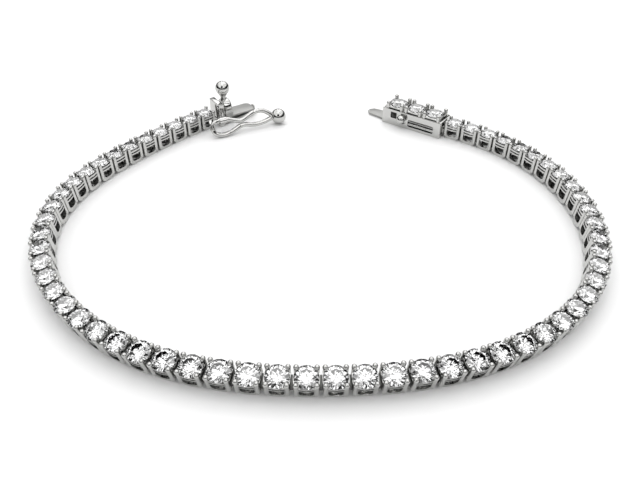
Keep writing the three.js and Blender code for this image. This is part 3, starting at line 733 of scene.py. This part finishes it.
satin_gold, tree = new_material("satin_white_gold")
place = node(tree, "ShaderNodeTexCoord")
grain = node(tree, "ShaderNodeTexNoise", [("Vector", place, "Object")],
             Scale=PER_METRE / GRAIN_MM, Detail=4.0)
rough = node(tree, "ShaderNodeMapRange", [("Value", grain, "Fac")], **GRAIN_ROUGHNESS)
relief = node(tree, "ShaderNodeBump", [("Height", grain, "Fac")], **GRAIN_RELIEF)
metal = node(tree, "ShaderNodeBsdfPrincipled", [("Roughness", rough, "Result"), ("Normal", relief, "Normal")],
             Base_Color=linear(SATIN), Metallic=1.0)
node(tree, "ShaderNodeOutputMaterial", [("Surface", metal, "BSDF")])

set_down(guide, "guide_tab", [box_place], [satin_gold], "bracelet", "clasp_box")
bpy.data.objects.remove(guide)


# Stones of the clasp. Three larger round brilliants of the same crystal, set
# last, each pressed into its seat until the claws' tips lie over its crown.
BOX_CROWN = 0.43
BOX_PAVILION = 1.16

box_stone = brilliant(BOX_STONE_D, BOX_CROWN, BOX_PAVILION)
for i, middle in enumerate(stone_middles, 1):
    lift = Matrix.Translation((middle, 0, BOX_GIRDLE_Z))
    set_down(box_stone, "clasp_stone_" + str(i), [box_place @ lift], [crystal],
                     "bracelet", "box_stone_" + str(i))
bpy.data.objects.remove(box_stone)


# End of the row on the tongue's side. A thick polished plate closes the row,
# the lower leaf of the tongue is soldered to it and rises to the fold at its
# tip, and an arm carries the tube that the safety catch swings in.
TONGUE_TURN = 35.0
TONGUE_FROM_ROW = {"along": 0.400, "outward": -0.240}
END_PLATE = {"from": 0.12, "thick": 0.92, "width": 3.40, "height": 3.95, "round": 0.10}
PLATE_TAB_OUT = 0.1
LEAF = {"width": 2.70, "thick": 0.26, "root": 0.1, "end": 7.45, "corner": 1.00, "low_z": 0.12, "rise": 6.6,
        "round": 0.04}
FOLD = {"bottom": 0.86, "top": 1.42, "thick": 0.26}
TUBE = {"from": 1.35, "to": 2.45, "radius": 0.54, "bore": 0.42, "sides": 24}
ARM = {"bite": 0.31, "inset": 0.15, "radius": 0.27}
CATCH_TURN = 27.5
CATCH_STEEP = 68.0
CATCH_FROM_TONGUE = {"along": -2.466, "outward": -4.116, "up": 1.52}
CATCH_HALF_WIDTH = 1.10

tongue_turn = math.radians(TONGUE_TURN)
row_start = gaps[-LEFT_LINKS]


def beside(x, y, along, outward):
    """A point along and outward of another in the tongue's heading."""
    return (x + along * math.cos(tongue_turn) - outward * math.sin(tongue_turn),
            y + along * math.sin(tongue_turn) + outward * math.cos(tongue_turn))


def turned_place(x, y, z, turn_degrees, tip_degrees):
    """A place turned about Z, then tipped about its own X."""
    made = Matrix.Translation((x - ROW_MIDDLE[0], y - ROW_MIDDLE[1], z))
    made = made @ Matrix.Rotation(math.radians(turn_degrees), 4, "Z")
    return Matrix.Scale(1 / PER_METRE, 4) @ made @ Matrix.Rotation(math.radians(tip_degrees), 4, "X")


tongue_x, tongue_y = beside(row_start[0], row_start[1], TONGUE_FROM_ROW["along"], TONGUE_FROM_ROW["outward"])
tongue_place = turned_place(tongue_x, tongue_y, 0.0, TONGUE_TURN, 0.0)
catch_x, catch_y = beside(tongue_x, tongue_y, CATCH_FROM_TONGUE["along"], CATCH_FROM_TONGUE["outward"])
catch_place = turned_place(catch_x, catch_y, CATCH_FROM_TONGUE["up"], CATCH_TURN, CATCH_STEEP)
catch_in_tongue = tongue_place.inverted() @ catch_place

plate_end = END_PLATE["from"] + END_PLATE["thick"]
plate_half = END_PLATE["width"] / 2
end_plate = block((END_PLATE["from"], -plate_half, 0), (plate_end, plate_half, END_PLATE["height"]))
bevel_edges(end_plate, lambda a, b: True, END_PLATE["round"], segments=3)
fused(end_plate, end_tab(END_PLATE["from"], PLATE_TAB_OUT))
tube_ends = [catch_in_tongue @ Vector((x, CATCH_HALF_WIDTH, 0)) for x in (TUBE["from"], TUBE["to"])]
tube_middle = (tube_ends[0] + tube_ends[1]) / 2
fused(end_plate, rod((plate_end - ARM["bite"], -plate_half + ARM["inset"], tube_middle.z), tube_middle,
                     ARM["radius"]))
fused(end_plate, rod(tube_ends[0], tube_ends[1], TUBE["radius"], TUBE["sides"]))
along_tube = (tube_ends[1] - tube_ends[0]).normalized()
cut(end_plate, rod(tube_ends[0] - along_tube, tube_ends[1] + along_tube, TUBE["bore"], TUBE["sides"]))
flat_sided(end_plate)

leaf_half = LEAF["width"] / 2
lower_leaf = block((plate_end - LEAF["root"], -leaf_half, 0), (LEAF["end"], leaf_half, LEAF["thick"]))
bevel_edges(lower_leaf, lambda a, b: abs(a.z - b.z) > TOUCH and a.x > LEAF["end"] / 2,
            LEAF["corner"], segments=6)
hinge_line = Matrix.Translation((plate_end, 0, LEAF["low_z"]))
lower_leaf.data.transform(hinge_line @ Matrix.Rotation(math.radians(-LEAF["rise"]), 4, "Y")
                          @ Matrix.Translation((-plate_end, 0, 0)))
fused(lower_leaf, block((LEAF["end"] - FOLD["thick"], -leaf_half + LEAF["corner"], FOLD["bottom"]),
                        (LEAF["end"], leaf_half - LEAF["corner"], FOLD["top"])))
flat_sided(modified(lower_leaf, "BEVEL", width=LEAF["round"], segments=2, limit_method="ANGLE"))
set_down(end_plate, "end_plate", [tongue_place], [rhodium_plate],
                 "bracelet", "tongue_frame")
set_down(lower_leaf, "lower_leaf", [tongue_place], [satin_gold],
                 "bracelet", "tongue_frame")
bpy.data.objects.remove(end_plate)
bpy.data.objects.remove(lower_leaf)


# Spring leaf. The upper leaf of the folded strip, satin like the lower one. A
# crowned hood stands on it beside the end plate, polished above the leaf, and
# a polished ball on a flared neck is pressed to free the clasp.
UPPER = {"from": 1.46, "tip": 7.07, "bottom": 1.16, "corner": 0.90}
HOOD = {"length": 1.38, "half": 1.30, "top": 4.05, "bite": 0.1, "crown": 1.10, "crown_profile": 0.42,
        "far_edge": 0.42, "polished_from": 1.90}
BUTTON = {"along": 1.84, "radius": 1.17, "z": 6.00}
NECK = {"from": 3.80, "foot_r": 0.48, "top_r": 0.40, "ball_share": 0.92, "sides": 24}
COLLAR = {"from": 4.45, "to": 5.12, "radius": 0.80}
ROUND_BELOW = 50

upper_top = UPPER["bottom"] + LEAF["thick"]
upper_leaf = block((UPPER["from"], -leaf_half, UPPER["bottom"]), (UPPER["tip"], leaf_half, upper_top))
bevel_edges(upper_leaf, lambda a, b: abs(a.z - b.z) > TOUCH and a.x > UPPER["tip"] / 2,
            UPPER["corner"], segments=6)
flat_sided(modified(upper_leaf, "BEVEL", width=LEAF["round"], segments=2, limit_method="ANGLE"))

hood_end = UPPER["from"] + HOOD["length"]
crown_foot = HOOD["top"] - HOOD["crown"]
hood = block((UPPER["from"], -HOOD["half"], upper_top - HOOD["bite"]), (hood_end, HOOD["half"], HOOD["top"]))
bevel_edges(hood, lambda a, b: abs(a.x - b.x) > HOOD["length"] / 2 and min(a.z, b.z) > HOOD["top"] - TOUCH,
            HOOD["crown"], segments=10, profile=HOOD["crown_profile"])
bevel_edges(hood, lambda a, b: min(a.x, b.x) > hood_end - TOUCH and min(a.z, b.z) > crown_foot - TOUCH,
            HOOD["far_edge"], segments=4)
split_across(hood, Vector((0, 0, 1)), [HOOD["polished_from"]])
flat_sided(hood)
second_face(hood, lambda middle, normal: middle.z < HOOD["polished_from"])


def cone_up(low, high, foot_r, top_r):
    """A cone of the button's neck between two heights."""
    return added(bpy.ops.mesh.primitive_cone_add, vertices=NECK["sides"], radius1=foot_r, radius2=top_r,
                 depth=high - low, location=(BUTTON["along"], 0, (low + high) / 2))


neck_top = BUTTON["z"] - BUTTON["radius"] * NECK["ball_share"]
button = cone_up(NECK["from"], neck_top, NECK["foot_r"], NECK["top_r"])
fused(button, cone_up(COLLAR["from"], COLLAR["to"], NECK["top_r"], COLLAR["radius"]))
fused(button, ball((BUTTON["along"], 0, BUTTON["z"]), BUTTON["radius"], segments=32, rings=20))
flat_sided(button, ROUND_BELOW)
set_down(upper_leaf, "upper_leaf", [tongue_place], [satin_gold],
                 "spring", "spring_leaf")
set_down(hood, "leaf_hood", [tongue_place], [rhodium_plate, satin_gold],
                 "spring", "spring_leaf")
set_down(button, "thumb_ball", [tongue_place], [rhodium_plate],
                 "spring", "spring_leaf")
bpy.data.objects.remove(upper_leaf)
bpy.data.objects.remove(hood)
bpy.data.objects.remove(button)


# Safety catch. Two bent wires of white gold, soldered where they touch at the
# waist and at both ends, make the two loops. A grip ball closes the free end.
WIRE_R = 0.38
CATCH_LENGTH = 10.50
GRIP = {"over": 1.03, "across": -0.22, "radius": 1.25}
END_SOLDER = 1.1
# The wires run through these points, given along the catch as shares of its
# length, and across it as shares of its half width.
CATCH_OUTLINE = [
    {"along": 0.000, "top": 0.06, "bottom": -0.06},
    {"along": 0.020, "top": 0.68, "bottom": -0.60},
    {"along": 0.100, "top": 1.00, "bottom": -1.02},
    {"along": 0.255, "top": 1.00, "bottom": -1.02},
    {"along": 0.350, "top": 0.68, "bottom": -0.70},
    {"along": 0.470, "top": 0.40, "bottom": -0.33},
    {"along": 0.545, "top": 0.62, "bottom": -0.36},
    {"along": 0.640, "top": 1.00, "bottom": -0.57},
    {"along": 0.760, "top": 1.25, "bottom": -0.62},
    {"along": 0.860, "top": 1.08, "bottom": -0.50},
    {"along": 0.945, "top": 0.54, "bottom": -0.32},
    {"along": 1.000, "top": -0.02, "bottom": -0.16},
]


def catch_wire(side):
    """The catch's top or bottom wire."""
    curve = bpy.data.curves.new("catch_wire", "CURVE")
    curve.dimensions = "3D"
    curve.bevel_depth = WIRE_R
    curve.bevel_resolution = 4
    curve.use_fill_caps = True
    line = curve.splines.new("BEZIER")
    line.bezier_points.add(len(CATCH_OUTLINE) - 1)
    line.resolution_u = 10
    for point, row in zip(line.bezier_points, CATCH_OUTLINE):
        point.co = (row["along"] * CATCH_LENGTH, row[side] * CATCH_HALF_WIDTH, 0)
        point.handle_left_type = point.handle_right_type = "AUTO"
    wire = bpy.data.objects.new("catch_wire", curve)
    bpy.context.scene.collection.objects.link(wire)
    only(wire)
    bpy.ops.object.convert(target="MESH")
    return bpy.context.object


catch = catch_wire("top")
fused(catch, catch_wire("bottom"))
fused(catch, ball((CATCH_LENGTH + GRIP["over"], GRIP["across"], 0), GRIP["radius"], segments=32, rings=20))
fused(catch, ball((0, 0, 0), WIRE_R * END_SOLDER, segments=16, rings=12))
flat_sided(catch, ROUND_BELOW)
set_down(catch, "catch_loops", [catch_place], [rhodium_plate],
                 "catch", "safety_catch")
bpy.data.objects.remove(catch)
